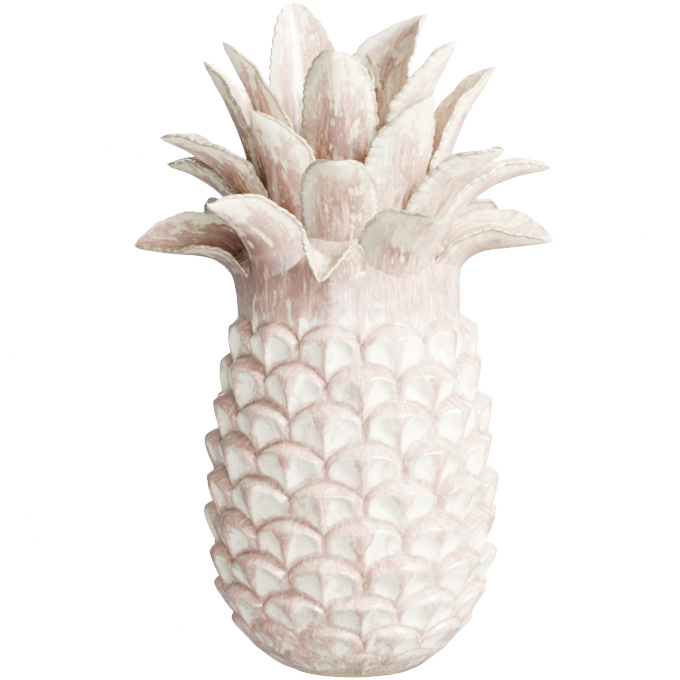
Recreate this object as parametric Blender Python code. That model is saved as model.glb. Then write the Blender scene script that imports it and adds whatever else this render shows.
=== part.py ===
"""A glazed ceramic pineapple ornament, made in one piece.

The body is a turned barrel covered with staggered eyes. Four tiers of keeled,
pointed leaves and a small heart of three grow out of its shoulder, round a
closed core.
"""

import math

import bpy
import bmesh
from mathutils import Vector

# Body: outer radius at a height, through the tips of the eyes
BODY_PROFILE = (
    (0.000, 0.0390),
    (0.004, 0.0490),
    (0.010, 0.0580),
    (0.022, 0.0715),
    (0.044, 0.0875),
    (0.060, 0.0945),
    (0.080, 0.0985),
    (0.115, 0.0995),
    (0.148, 0.0980),
    (0.181, 0.0945),
    (0.212, 0.0890),
    (0.236, 0.0820),
    (0.252, 0.0745),
    (0.264, 0.0705),
    (0.2765, 0.0660),
)
BODY_TOP = 0.2765

# Core: the closed dome inside the crown, which carries on from the shoulder
CORE_PROFILE = (
    (0.293, 0.0575),
    (0.310, 0.0460),
    (0.330, 0.0300),
    (0.345, 0.0130),
)

# Eyes: staggered rings of round arches with a keel down the middle
EYES_PER_RING = 11
EYE_RINGS = 11
TOP_ROW_HEIGHT = 0.2668
ROW_PITCH = 0.0253
LAST_EVEN_ROW = 7.35
ROW_CROWDING = 0.00062
CROWDING_POWER = 2.7
FIRST_EYE_AZIMUTH = 4.7
EYE_DEPTH = 0.0105
ARCH_SHARE = 0.275
ARCH_ROUNDNESS = 1.7
RIM_SHARE = 0.13
NUB_SHARE = 0.26
RIM_HEIGHT = 0.72
KEEL_FALL = 1.5
SIDE_FALL = 0.5
SIDE_FALL_POWER = 1.1
CREASE_POWER = 6
FACET_DISH = 0.34
DISH_SPREAD = 0.8
DISH_START = 0.1
DISH_FULL = 0.5
RELIEF_LOW_START = 0.004
RELIEF_LOW_FULL = 0.045
RELIEF_HIGH_FULL = 0.236
RELIEF_HIGH_END = 0.268
EYE_COLUMNS = (-1.0, -2 / 3, -1 / 3, 0.0, 1 / 3, 2 / 3, 1.0)
EYE_LEVELS = (0.0, 0.13, 0.42, 1.0)
FLAT_EYE_LEVELS = (0.0, 0.3, 1.0)

# The straight side that two eyes of a ring share has points at its ends alone
SIDE_LEVELS = (0.0, 0.0, 1.0, 1.0)
FLAT_SIDE_LEVELS = (0.0, 0.0, 1.0)

# Leaves: a channel section along a midrib that bends outward
MIDRIB_STEPS = 60
STATION_CROWDING = 1.3
TIP_END = 0.994
TIP_TAPER = 2.2
LEAF_SECTION = (-1.0, -0.5, 0.0, 0.5, 1.0)
FOLD_EASE = 0.8
MIDRIB_THICKNESS = 0.0065
MARGIN_THICKNESS = 0.0026
MIDRIB_SPREAD = 1.5
TIP_THINNING = 0.55
ROOT_ROLL = 0.2
CROWN_OFFSET = -0.003

TIER_1 = dict(stations=8, radius=0.067, height=0.230, length=0.117, width=0.058, rise=84, fall=-28,
              fold=0.65, base_width=0.98, widest=0.5, bend_start=0.2, bend_end=0.92)
TIER_2 = dict(stations=6, radius=0.055, height=0.282, length=0.105, width=0.050, rise=62,
              fall=15, fold=0.5)
TIER_3 = dict(stations=6, radius=0.056, height=0.283, length=0.115, width=0.050, rise=84,
              fall=55, fold=0.5)
TIER_4 = dict(stations=6, radius=0.034, height=0.305, length=0.125, width=0.048, rise=84,
              fall=62, fold=0.45)
HEART = dict(stations=4, radius=0.013, height=0.325, length=0.085, width=0.036, rise=88,
             fall=76, fold=0.5)
LEAF_DEFAULTS = dict(offset=0, sway=0, roll=0, base_width=0.75, widest=0.45, tip=0.8,
                     bend_start=0.1, bend_end=1.0)

# Each leaf by the azimuth it points to, in degrees: 0 is the front, 90 the right
LEAVES = (
    (TIER_1, dict(azimuth=-92, radius=0.066, length=0.113, rise=80, fall=3, fold=0.55,
                  roll=-30, bend_end=0.65)),
    (TIER_1, dict(azimuth=-49, length=0.113, fall=28, roll=15)),
    (TIER_1, dict(azimuth=-8, length=0.106, width=0.040, fall=-28, roll=-10, base_width=1.35)),
    (TIER_1, dict(azimuth=30, length=0.106, fall=24, roll=-12)),
    (TIER_1, dict(azimuth=86, length=0.112, fall=5, roll=15, bend_end=0.7)),
    (TIER_1, dict(azimuth=131, fall=-15)),
    (TIER_1, dict(azimuth=176, length=0.111)),
    (TIER_1, dict(azimuth=-136, fall=-20)),
    (TIER_2, dict(azimuth=-78, height=0.292, length=0.103, fall=20)),
    (TIER_2, dict(azimuth=-108, height=0.278, length=0.098, rise=58)),
    (TIER_2, dict(azimuth=-5, stations=7, radius=0.050, height=0.275, length=0.090, width=0.052,
                  rise=80, fall=36, fold=0.22, tip=0.5)),
    (TIER_2, dict(azimuth=60, radius=0.056, height=0.280, length=0.100, rise=68, fall=28)),
    (TIER_2, dict(azimuth=100, height=0.278, length=0.108, rise=58, fall=5)),
    (TIER_2, dict(azimuth=150, length=0.100)),
    (TIER_2, dict(azimuth=-155, length=0.098, rise=66)),
    (TIER_3, dict(azimuth=-103, radius=0.058, length=0.134, fall=56)),
    (TIER_3, dict(azimuth=-47, height=0.280, length=0.106, width=0.060, fall=60)),
    (TIER_3, dict(azimuth=43, radius=0.053, height=0.280, length=0.114, width=0.060, fall=66)),
    (TIER_3, dict(azimuth=102, radius=0.058, length=0.132, width=0.056, fall=53)),
    (TIER_3, dict(azimuth=155, radius=0.052)),
    (TIER_3, dict(azimuth=-152, radius=0.052, length=0.110)),
    (TIER_4, dict(azimuth=-73, radius=0.046, height=0.298, length=0.134, fall=57)),
    (TIER_4, dict(azimuth=-158, offset=15, radius=0.045, length=0.143, width=0.056, fall=72,
                  tip=0.55)),
    (TIER_4, dict(azimuth=-8, length=0.120, width=0.052, tip=0.5)),
    (TIER_4, dict(azimuth=150, sway=-30, radius=0.033, length=0.148, width=0.064, rise=86,
                  fall=45)),
    (TIER_4, dict(azimuth=62, radius=0.042, length=0.128, fall=57)),
    (TIER_4, dict(azimuth=172, length=0.113)),
    (HEART, dict(azimuth=20)),
    (HEART, dict(azimuth=140, length=0.080)),
    (HEART, dict(azimuth=-100, length=0.076)),
)

GLAZE_COLOUR = (0.80, 0.66, 0.60, 1.0)
GLAZE_ROUGHNESS = 0.22
SHARP_ANGLE = 40
FLAT_ANGLE = 0.3
MERGE_DISTANCE = 0.00005


def ease(value, start, end):
    """Rise smoothly from 0 at start to 1 at end."""
    share = min(max((value - start) / (end - start), 0.0), 1.0)
    return share * share * (3 - 2 * share)


def radius_at(profile, height):
    """Read a radius from a profile along a smooth curve through its points."""
    if height <= profile[0][0]:
        return profile[0][1]
    for index in range(len(profile) - 1):
        low, high = profile[index], profile[index + 1]
        if height <= high[0]:
            before = profile[max(index - 1, 0)]
            after = profile[min(index + 2, len(profile) - 1)]
            span = high[0] - low[0]
            share = (height - low[0]) / span
            slope_low = (high[1] - before[1]) / (high[0] - before[0]) * span
            slope_high = (after[1] - low[1]) / (after[0] - low[0]) * span
            square, cube = share ** 2, share ** 3
            return (low[1] * (2 * cube - 3 * square + 1) + slope_low * (cube - 2 * square + share)
                    + high[1] * (3 * square - 2 * cube) + slope_high * (cube - square))
    return profile[-1][1]


def polar(radius, azimuth, height):
    """Place a point by its azimuth in degrees, 0 to the front and 90 to the right."""
    angle = math.radians(azimuth)
    return Vector((radius * math.sin(angle), -radius * math.cos(angle), height))


def arch_drop(across):
    """How far the arch of an eye falls below its top, as a share of two row pitches."""
    return ARCH_SHARE * (1 - (1 - abs(across) ** ARCH_ROUNDNESS) ** (1 / ARCH_ROUNDNESS))


def eye_relief(across, level):
    """Height of an eye above its creases, from 0 to 1."""
    rim = ease(level, 0.0, RIM_SHARE)
    rise = RIM_HEIGHT + (1 - RIM_HEIGHT) * ease(level, 0.0, NUB_SHARE)
    past_nub = max((level - NUB_SHARE) / (1 - NUB_SHARE), 0.0)
    side = (1 - SIDE_FALL * abs(across) ** SIDE_FALL_POWER) * (1 - across ** CREASE_POWER)
    dish = FACET_DISH * math.sin(math.pi * min(abs(across) / DISH_SPREAD, 1.0))
    dish *= ease(level, DISH_START, DISH_FULL)
    return rim * rise * (1 - past_nub ** KEEL_FALL) * (side - dish)


def row_height(row):
    """Height of a row of eye tops, which crowd together above the foot."""
    crowding = ROW_CROWDING * max(row - LAST_EVEN_ROW, 0.0) ** CROWDING_POWER
    return TOP_ROW_HEIGHT - ROW_PITCH * row + crowding


def relief_strength(height):
    """The eyes fade out above the foot and under the leaves."""
    low = ease(height, RELIEF_LOW_START, RELIEF_LOW_FULL)
    high = 1 - ease(height, RELIEF_HIGH_FULL, RELIEF_HIGH_END)
    return low * high


def eye_point(ring, column, across, level):
    """A point of one eye: across runs from -1 to 1, level from 0 at its arch to 1 at its foot."""
    step = 180 / EYES_PER_RING
    start = arch_drop(across)
    end = 0.5 + arch_drop(1 - abs(across))
    height = row_height(ring + 2 * (start + (end - start) * level))
    azimuth = FIRST_EYE_AZIMUTH + (2 * column + ring % 2 + across) * step
    depth = EYE_DEPTH * relief_strength(height) * (1 - eye_relief(across, level))
    return polar(radius_at(BODY_PROFILE, height) - depth, azimuth, height)


def add_strip(mesh, lower, upper):
    """Bridge two closed rows of points."""
    count = len(lower)
    for index in range(count):
        following = (index + 1) % count
        mesh.faces.new((lower[index], lower[following], upper[following], upper[index]))


def edge_row(ring, level):
    """The zigzag row along the arches or the feet of one ring of eyes, left to right."""
    points = []
    for column in range(EYES_PER_RING):
        for across in EYE_COLUMNS[:-1]:
            points.append(eye_point(ring, column, across, level))
    return points


def level_row(edge, height):
    """A level circle of body points, one at the bearing of each point of an edge."""
    points = []
    for point in edge:
        bearing = Vector((point.x, point.y, 0)).normalized()
        points.append(bearing * radius_at(BODY_PROFILE, height) + Vector((0, 0, height)))
    return points


def build_body():
    """The barrel with its eyes, closed by a flat foot below and the core above."""
    mesh = bmesh.new()
    for ring in range(EYE_RINGS):
        levels = list(zip(EYE_LEVELS, SIDE_LEVELS))
        if ring in (0, EYE_RINGS - 1):
            levels = list(zip(FLAT_EYE_LEVELS, FLAT_SIDE_LEVELS))
        for column in range(EYES_PER_RING):
            grid = []
            for level, side_level in levels:
                row = []
                for across in EYE_COLUMNS:
                    own_level = side_level if abs(across) == 1 else level
                    row.append(mesh.verts.new(eye_point(ring, column, across, own_level)))
                grid.append(row)
            for upper, lower in zip(grid, grid[1:]):
                for index in range(len(EYE_COLUMNS) - 1):
                    mesh.faces.new((lower[index], lower[index + 1], upper[index + 1], upper[index]))
    foot_edge = edge_row(EYE_RINGS - 1, 1.0)
    above_foot = [mesh.verts.new(point) for point in foot_edge]
    foot = [mesh.verts.new(point) for point in level_row(foot_edge, 0.0)]
    add_strip(mesh, foot, above_foot)
    mesh.faces.new(list(reversed(foot)))
    shoulder_edge = edge_row(0, 0.0)
    below_shoulder = [mesh.verts.new(point) for point in shoulder_edge]
    shoulder = [mesh.verts.new(point) for point in level_row(shoulder_edge, BODY_TOP)]
    add_strip(mesh, below_shoulder, shoulder)
    add_core(mesh, shoulder)
    bmesh.ops.remove_doubles(mesh, verts=mesh.verts, dist=MERGE_DISTANCE)
    return finish_mesh(mesh, "pineapple")


def add_core(mesh, shoulder):
    """Close the shoulder with a dome that has one side for every three of its points."""
    bearings = [Vector((corner.co.x, corner.co.y, 0)).normalized() for corner in shoulder[::3]]
    rows = []
    for height, radius in CORE_PROFILE:
        row = []
        for bearing in bearings:
            place = bearing * radius + Vector((CROWN_OFFSET, 0, height))
            row.append(mesh.verts.new(place))
        rows.append(row)
    first = rows[0]
    for index, corner in enumerate(first):
        following = first[(index + 1) % len(first)]
        start, second, third = shoulder[3 * index:3 * index + 3]
        end = shoulder[(3 * index + 3) % len(shoulder)]
        mesh.faces.new((start, second, corner))
        mesh.faces.new((second, third, following, corner))
        mesh.faces.new((third, end, following))
    for lower, upper in zip(rows, rows[1:]):
        add_strip(mesh, lower, upper)
    mesh.faces.new(rows[-1])


def half_width(leaf, along):
    """Half the width of a leaf at a share of its length."""
    rise = leaf["base_width"] + (1 - leaf["base_width"]) * ease(along, 0.0, leaf["widest"])
    past = min(max((along - leaf["widest"]) / (1 - leaf["widest"]), 0.0), 1.0)
    return leaf["width"] / 2 * rise * (1 - past ** TIP_TAPER) ** leaf["tip"]


def leaf_frames(leaf):
    """Share of the length, centre, sideways and inward directions at each station of a leaf."""
    count = leaf["stations"]
    stations = {round(MIDRIB_STEPS * (1 - (1 - index / (count - 1)) ** STATION_CROWDING))
                for index in range(count)}
    frames = []
    point = polar(leaf["radius"], leaf["azimuth"] + leaf["offset"], leaf["height"])
    point.x += CROWN_OFFSET
    for step in range(MIDRIB_STEPS + 1):
        along = step / MIDRIB_STEPS
        bend = ease(along, leaf["bend_start"], leaf["bend_end"])
        slope = math.radians(leaf["rise"] + (leaf["fall"] - leaf["rise"]) * bend)
        turn = math.radians(leaf["azimuth"] + leaf["sway"] * along ** 2)
        outward = Vector((math.sin(turn), -math.cos(turn), 0))
        forward = outward * math.cos(slope) + Vector((0, 0, math.sin(slope)))
        side = Vector((math.cos(turn), math.sin(turn), 0))
        inward = forward.cross(side)
        roll = math.radians(leaf["roll"] * (ROOT_ROLL + (1 - ROOT_ROLL) * along))
        if step in stations:
            rolled_side = side * math.cos(roll) + inward * math.sin(roll)
            rolled_in = inward * math.cos(roll) - side * math.sin(roll)
            frames.append((along, point.copy(), rolled_side, rolled_in))
        point += forward * (leaf["length"] / MIDRIB_STEPS)
    return frames


def build_leaf(leaf, number):
    """One leaf as a closed solid, thick at its midrib and thin at its margins."""
    mesh = bmesh.new()
    rows = []
    full_lift = math.sqrt(1 + FOLD_EASE ** 2) - FOLD_EASE
    for along, centre, side, inward in leaf_frames(leaf):
        half = half_width(leaf, min(along, TIP_END))
        midrib = MIDRIB_THICKNESS * (1 - TIP_THINNING * along)
        inner, outer = [], []
        for across in LEAF_SECTION:
            lift = (math.sqrt(across ** 2 + FOLD_EASE ** 2) - FOLD_EASE) / full_lift
            point = centre + side * (half * across) + inward * (half * leaf["fold"] * lift)
            spread = 1 - abs(across) ** MIDRIB_SPREAD
            thickness = MARGIN_THICKNESS + (midrib - MARGIN_THICKNESS) * spread
            inner.append(mesh.verts.new(point + inward * thickness / 2))
            outer.append(mesh.verts.new(point - inward * thickness / 2))
        rows.append(outer + inner[::-1])
    for lower, upper in zip(rows, rows[1:]):
        add_strip(mesh, lower, upper)
    mesh.faces.new(list(reversed(rows[0])))
    mesh.faces.new(rows[-1])
    return finish_mesh(mesh, "leaf_%02d" % number)


def finish_mesh(mesh, name):
    """Turn a mesh's faces outward, cut them to triangles and make its object."""
    bmesh.ops.triangulate(mesh, faces=mesh.faces)
    bmesh.ops.recalc_face_normals(mesh, faces=mesh.faces)
    data = bpy.data.meshes.new(name)
    mesh.to_mesh(data)
    mesh.free()
    thing = bpy.data.objects.new(name, data)
    bpy.context.scene.collection.objects.link(thing)
    return thing


def drop_flaps(mesh):
    """Delete faces that lie back to back on the same points, with nothing between them."""
    same_points = {}
    for face in mesh.faces:
        same_points.setdefault(frozenset(face.verts), []).append(face)
    flaps = [face for faces in same_points.values() if len(faces) > 1 for face in faces]
    bmesh.ops.delete(mesh, geom=flaps, context="FACES")


def keep_main_skin(mesh):
    """Delete the crumbs of skin that a union can leave beside the main one."""
    waiting = set(mesh.faces)
    skins = []
    while waiting:
        skin = {waiting.pop()}
        front = list(skin)
        while front:
            face = front.pop()
            for edge in face.edges:
                for other in edge.link_faces:
                    if other in waiting:
                        waiting.discard(other)
                        skin.add(other)
                        front.append(other)
        skins.append(skin)
    main_skin = max(skins, key=len)
    crumbs = [face for face in mesh.faces if face not in main_skin]
    bmesh.ops.delete(mesh, geom=crumbs, context="FACES")
    loose = [point for point in mesh.verts if not point.link_faces]
    bmesh.ops.delete(mesh, geom=loose, context="VERTS")


def join_solids(body, parts):
    """Join the parts to the body as one closed skin and remove the parts."""
    group = bpy.data.collections.new("crown")
    for part in parts:
        group.objects.link(part)
    union = body.modifiers.new("Join crown", "BOOLEAN")
    union.operation = "UNION"
    union.operand_type = "COLLECTION"
    union.collection = group
    union.solver = "EXACT"
    view = bpy.context.evaluated_depsgraph_get()
    data = bpy.data.meshes.new_from_object(body.evaluated_get(view))
    body.modifiers.remove(union)
    body.data = data
    for part in parts:
        bpy.data.objects.remove(part)
    bpy.data.collections.remove(group)
    mesh = bmesh.new()
    mesh.from_mesh(data)
    bmesh.ops.remove_doubles(mesh, verts=mesh.verts, dist=MERGE_DISTANCE)
    bmesh.ops.dissolve_limit(mesh, angle_limit=math.radians(FLAT_ANGLE), verts=mesh.verts,
                             edges=mesh.edges)
    bmesh.ops.dissolve_degenerate(mesh, edges=mesh.edges, dist=MERGE_DISTANCE)
    bmesh.ops.triangulate(mesh, faces=mesh.faces)
    drop_flaps(mesh)
    keep_main_skin(mesh)
    mesh.to_mesh(data)
    mesh.free()


def glaze_material():
    """Milky pink glaze."""
    material = bpy.data.materials.new("pink glaze")
    material.use_nodes = True
    shader = material.node_tree.nodes["Principled BSDF"]
    shader.inputs["Base Color"].default_value = GLAZE_COLOUR
    shader.inputs["Roughness"].default_value = GLAZE_ROUGHNESS
    return material


def main():
    """Build the ornament."""
    for thing in list(bpy.data.objects):
        bpy.data.objects.remove(thing)
    body = build_body()
    leaves = []
    for number, (tier, own) in enumerate(LEAVES, 1):
        leaf = {**LEAF_DEFAULTS, **tier, **own}
        leaves.append(build_leaf(leaf, number))
    join_solids(body, leaves)
    body.data.materials.clear()
    body.data.materials.append(glaze_material())
    body.data.shade_smooth()
    body.data.set_sharp_from_angle(angle=math.radians(SHARP_ANGLE))


main()
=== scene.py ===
"""The looks of a glazed ceramic pineapple ornament: its eyes, leaves, glaze, light and camera."""

import math

import bmesh
import bpy
import numpy as np
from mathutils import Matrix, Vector, noise
from mathutils.bvhtree import BVHTree


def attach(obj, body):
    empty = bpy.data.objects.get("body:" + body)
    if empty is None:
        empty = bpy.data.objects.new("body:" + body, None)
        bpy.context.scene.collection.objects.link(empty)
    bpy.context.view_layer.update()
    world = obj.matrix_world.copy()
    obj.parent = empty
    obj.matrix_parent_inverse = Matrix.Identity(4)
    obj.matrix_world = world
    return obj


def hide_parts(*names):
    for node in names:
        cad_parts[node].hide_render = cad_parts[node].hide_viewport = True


bl_info = {
    "name": "Glazed pineapple ornament",
    "version": (1, 0, 0),
    "blender": (4, 5, 0),
    "location": "3D View > Sidebar > Pineapple",
    "description": "Builds the carved and glazed surface of a ceramic pineapple, its light and its camera",
    "category": "Object",
}

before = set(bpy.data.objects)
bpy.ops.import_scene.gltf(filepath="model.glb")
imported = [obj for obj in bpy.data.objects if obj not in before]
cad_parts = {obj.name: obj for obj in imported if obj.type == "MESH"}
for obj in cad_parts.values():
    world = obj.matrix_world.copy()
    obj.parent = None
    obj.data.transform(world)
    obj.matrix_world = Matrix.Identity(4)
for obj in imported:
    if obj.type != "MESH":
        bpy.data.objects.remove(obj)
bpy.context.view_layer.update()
BODY = "root"
NODE = "pineapple"

# Body: outer radius at a height, through the tips of the eyes
BODY_PROFILE = (
    (0.000, 0.0390),
    (0.004, 0.0490),
    (0.010, 0.0580),
    (0.022, 0.0715),
    (0.044, 0.0875),
    (0.060, 0.0945),
    (0.080, 0.0985),
    (0.115, 0.0995),
    (0.148, 0.0980),
    (0.181, 0.0945),
    (0.212, 0.0890),
    (0.236, 0.0820),
    (0.252, 0.0745),
    (0.264, 0.0705),
    (0.2765, 0.0660),
)
BODY_TOP = 0.2765
WIDEST_RADIUS = 0.1
CORE_PROFILE = (
    (0.293, 0.0575),
    (0.310, 0.0460),
    (0.330, 0.0300),
    (0.345, 0.0130),
)
CROWN_OFFSET = -0.003

# Eyes: staggered rows of arches, each falling by its share of two row pitches
TOP_ROW_HEIGHT = 0.2668
ROW_PITCH = 0.0253
LAST_EVEN_ROW = 7.35
ROW_CROWDING = 0.00062
CROWDING_POWER = 2.7
FIRST_EYE_AZIMUTH = 4.7
ARCH_SHARE = 0.275
ARCH_ROUNDNESS = 1.7
ARCH_STEEPEST = 0.012
EYE_HALF_WIDTH = 0.0280
NUB_SHARE = 0.26
RIM_HEIGHT = 0.66
RIM_REACH = 0.0078
CORNER_ROUNDING = 0.004
KEEL_FALL = 1.35
KEEL_ROUNDING = 0.0006
SIDE_FALL = 0.40
FACET_REACH = 0.0080
FOOT_INSET = 0.0024
WOBBLE = 0.0036
WOBBLE_SCALE = 95.0
RELIEF_LOW = (0.004, 0.075)
RELIEF_HIGH = (0.236, 0.268)
EYE_COLUMNS = 26
EYE_LEVELS = 28
FOOT_ROWS = 5
UNDERSIDE_ROWS = 4
SHOULDER_ROWS = 12
CORE_ROWS = 10
MERGE_DISTANCE = 0.00002
EYE_INPUTS = {
    "NodeSocketInt": ("Eyes Around", "Rings", "Columns", "Levels", "Seed"),
    "NodeSocketFloat": ("Eye Depth", "Scoop Depth", "Band Width", "Band Rise", "Variety"),
    "NodeSocketMaterial": ("Material",),
}

# Leaves: a channel section along a midrib that bends outward
MIDRIB_STEPS = 240
LEAF_STATIONS = 120
LEAF_COLUMNS = 28
STATION_CROWDING = 1.25
TIP_TAPER = 2.2
FOLD_EASE = 0.8
MIDRIB_SPREAD = 1.5
TIP_THINNING = 0.55
ROOT_ROLL = 0.2
MARGIN_ARC = (-50.0, 0.0, 50.0)
NARROW_HALF = 0.012
LONG_WAVE = 0.047
SHORT_WAVE = 0.021
LOBE_BAND = (0.26, 0.42)
LOBE_DRIFT = 0.041
LOBE_LEAN = 0.8
LOBE_ROUNDNESS = 0.55
TIER_1 = dict(radius=0.067, height=0.230, length=0.117, width=0.058, rise=84, fall=-28,
              fold=0.65, base_width=0.98, widest=0.5, bend_start=0.2, bend_end=0.92)
TIER_2 = dict(radius=0.055, height=0.282, length=0.105, width=0.050, rise=62, fall=15, fold=0.5)
TIER_3 = dict(radius=0.056, height=0.283, length=0.115, width=0.050, rise=84, fall=55, fold=0.5)
TIER_4 = dict(radius=0.034, height=0.305, length=0.125, width=0.048, rise=84, fall=62, fold=0.45)
HEART = dict(radius=0.013, height=0.325, length=0.085, width=0.036, rise=88, fall=76, fold=0.5)
LEAF_DEFAULTS = dict(offset=0, sway=0, roll=0, base_width=0.75, widest=0.45, tip=0.8,
                     bend_start=0.1, bend_end=1.0)

# Each leaf by the azimuth it points to, in degrees: 0 is the front, 90 the right
LEAVES = {
    "leaves_low": (TIER_1, (
        dict(azimuth=-92, radius=0.066, length=0.113, rise=80, fall=3, fold=0.55, roll=-30,
             bend_end=0.65),
        dict(azimuth=-49, length=0.113, fall=28, roll=15),
        dict(azimuth=-8, length=0.106, width=0.040, fall=-28, roll=-10, base_width=1.35),
        dict(azimuth=30, length=0.106, fall=24, roll=-12),
        dict(azimuth=86, length=0.112, fall=5, roll=15, bend_end=0.7),
        dict(azimuth=131, fall=-15),
        dict(azimuth=176, length=0.111),
        dict(azimuth=-136, fall=-20),
    )),
    "leaves_spreading": (TIER_2, (
        dict(azimuth=-78, height=0.292, length=0.103, fall=20),
        dict(azimuth=-108, height=0.278, length=0.098, rise=58),
        dict(azimuth=-5, radius=0.050, height=0.275, length=0.090, width=0.052, rise=80, fall=36,
             fold=0.22, tip=0.5),
        dict(azimuth=60, radius=0.056, height=0.280, length=0.100, rise=68, fall=28),
        dict(azimuth=100, height=0.278, length=0.108, rise=58, fall=5),
        dict(azimuth=150, length=0.100),
        dict(azimuth=-155, length=0.098, rise=66),
    )),
    "leaves_upright": (TIER_3, (
        dict(azimuth=-103, radius=0.058, length=0.134, fall=56),
        dict(azimuth=-47, height=0.280, length=0.106, width=0.060, fall=60),
        dict(azimuth=43, radius=0.053, height=0.280, length=0.114, width=0.060, fall=66),
        dict(azimuth=102, radius=0.058, length=0.132, width=0.056, fall=53),
        dict(azimuth=155, radius=0.052),
        dict(azimuth=-152, radius=0.052, length=0.110),
    )),
    "leaves_top": (TIER_4, (
        dict(azimuth=-73, radius=0.046, height=0.298, length=0.134, fall=57),
        dict(azimuth=-158, offset=15, radius=0.045, length=0.143, width=0.056, fall=72, tip=0.55),
        dict(azimuth=-8, length=0.120, width=0.052, tip=0.5),
        dict(azimuth=150, sway=-30, radius=0.033, length=0.148, width=0.064, rise=86, fall=45),
        dict(azimuth=62, radius=0.042, length=0.128, fall=57),
        dict(azimuth=172, length=0.113),
    )),
    "leaves_heart": (HEART, (
        dict(azimuth=20),
        dict(azimuth=140, length=0.080),
        dict(azimuth=-100, length=0.076),
    )),
}

# Shoulder: the skin swells to meet the roots of the low leaves
ROOT_FILLET = 0.012
ROOT_TRIM = 0.002
ROOT_COVER = 0.0003
ROOT_SINK = 0.0011
ROOT_SINK_BAND = (0.258, 0.2765)
ROOT_BAND = (0.222, 0.240)
ROOT_REACH = 0.025
ROOT_RADIUS = 0.06
NECK_LOW = (0.232, 0.246)
NECK_HIGH = (0.280, 0.290)
NECK_PASSES = 20
NECK_PULL = 0.6

# Hand-shaped clay: scales of its slow and its finer wander
SLOW_WANDER = 31.0
FINE_WANDER = 83.0
FINE_SHARE = 0.4

# Glaze: how its streaks follow the surface, and how finely each kind of them is drawn
CURL = 0.009
CURL_SCALE = 75.0
CURL_STRETCH = (1.0, 2.6, 1.0)
CURL_BAND = (0.225, 0.258)
FREE_BAND = (0.40, 0.70)
FIBRES = (400.0, 75.0, 90.0)
RUNS = (190.0, 42.0, 60.0)
PATCHES = (85.0, 26.0, 40.0)
CLOUDS = 34.0
BLOTS = 95.0
SPECKS = 620.0
CROWN_BAND = (0.245, 0.290)
FOOT_LINE = (0.0034, 0.0046)
BUMP_STRENGTH = 0.22
BUMP_DISTANCE = 0.0012
COAT_WEIGHT = 0.55
COAT_ROUGHNESS = 0.10

# Floor: flat in the middle, then a quarter turn up into a wall
FLOOR_MIDDLE = 0.4
FLOOR_REACH = 5.0
FLOOR_TURN = 1.5
FLOOR_STEPS = 24
FLOOR_SIDES = 96
WALL_HEIGHT = 6.0

# Lights: name, place, aim, width and height, share of the key light's power, colour
MIDDLE = (0.0, 0.0, 0.22)
NEUTRAL = (1.0, 1.0, 1.0)
LIGHTS = (
    ("soft box", (1.55, -0.95, 1.15), MIDDLE, (0.9, 1.2), 1.0, (1.0, 0.975, 0.925)),
    ("front fill", (0.4, -2.4, 0.35), MIDDLE, (1.2, 0.6), 0.10, NEUTRAL),
    ("back fill", (0.3, 2.4, 0.75), MIDDLE, (1.6, 1.0), 0.16, NEUTRAL),
    ("floor bounce", (0.0, -0.75, 0.10), (0.0, 0.0, 0.08), (0.9, 0.15), 0.016, NEUTRAL),
)

# Camera: where the photograph was taken from
CAMERA_DISTANCE = 3.0
CAMERA_ELEVATION = 7.0
PHOTO_PIXELS = 680
METRES_PER_PIXEL = 0.00067
AXIS_PIXEL = 351.8
AIM_HEIGHT = 0.2224
SENSOR_WIDTH = 36.0


def colour_setting(name, description, default):
    """A colour that a user can change."""
    return bpy.props.FloatVectorProperty(
        name=name, description=description, subtype="COLOR", size=3, min=0.0, max=1.0,
        default=default)


def length_setting(name, description, default, least=0.0):
    """A length that a user can change."""
    return bpy.props.FloatProperty(
        name=name, description=description, default=default, min=least, unit="LENGTH")


class PineappleBodySizes(bpy.types.PropertyGroup):
    """Sizes of the body and its eyes."""

    eyes_around: bpy.props.IntProperty(
        name="Eyes Around", description="Eyes in one ring", default=11, min=5, max=24)
    rings: bpy.props.IntProperty(
        name="Rings", description="Staggered rings of eyes", default=11, min=4, max=11)
    eye_depth: length_setting("Eye Depth", "Height of an eye above its creases", 0.0105)
    scoop_depth: length_setting(
        "Scoop Depth", "How deep the two facets of an eye are hollowed", 0.0033)
    band_width: length_setting(
        "Band Width", "Width of the rolled rim round the arch of an eye", 0.0056, 0.001)
    band_rise: length_setting("Band Rise", "How far the rolled rim stands proud", 0.0007)
    variety: bpy.props.FloatProperty(
        name="Variety", description="How much one eye differs from the next", default=1.4,
        min=0.0, max=2.0)
    unevenness: length_setting("Unevenness", "How far the hand-shaped surface strays", 0.0016)
    seed: bpy.props.IntProperty(
        name="Seed", description="Picks the differences between eyes", default=7)


class PineappleLeafSizes(bpy.types.PropertyGroup):
    """Sizes of the leaves of the crown."""

    midrib_thickness: length_setting(
        "Midrib Thickness", "Thickness of a leaf at its root and middle", 0.0065)
    margin_thickness: length_setting("Margin Thickness", "Thickness of a leaf at its edge", 0.0026)
    tooth_pitch: length_setting(
        "Tooth Pitch", "Length of one scallop along a leaf's edge", 0.0064, 0.002)
    tooth_depth: length_setting("Tooth Depth", "How far a notch cuts into a leaf's edge", 0.0017)
    edge_wave: length_setting("Edge Wave", "How far a leaf's edge waves in and out", 0.0010)
    seed: bpy.props.IntProperty(
        name="Seed", description="Picks the waves and scallops of each leaf", default=3)


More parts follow.
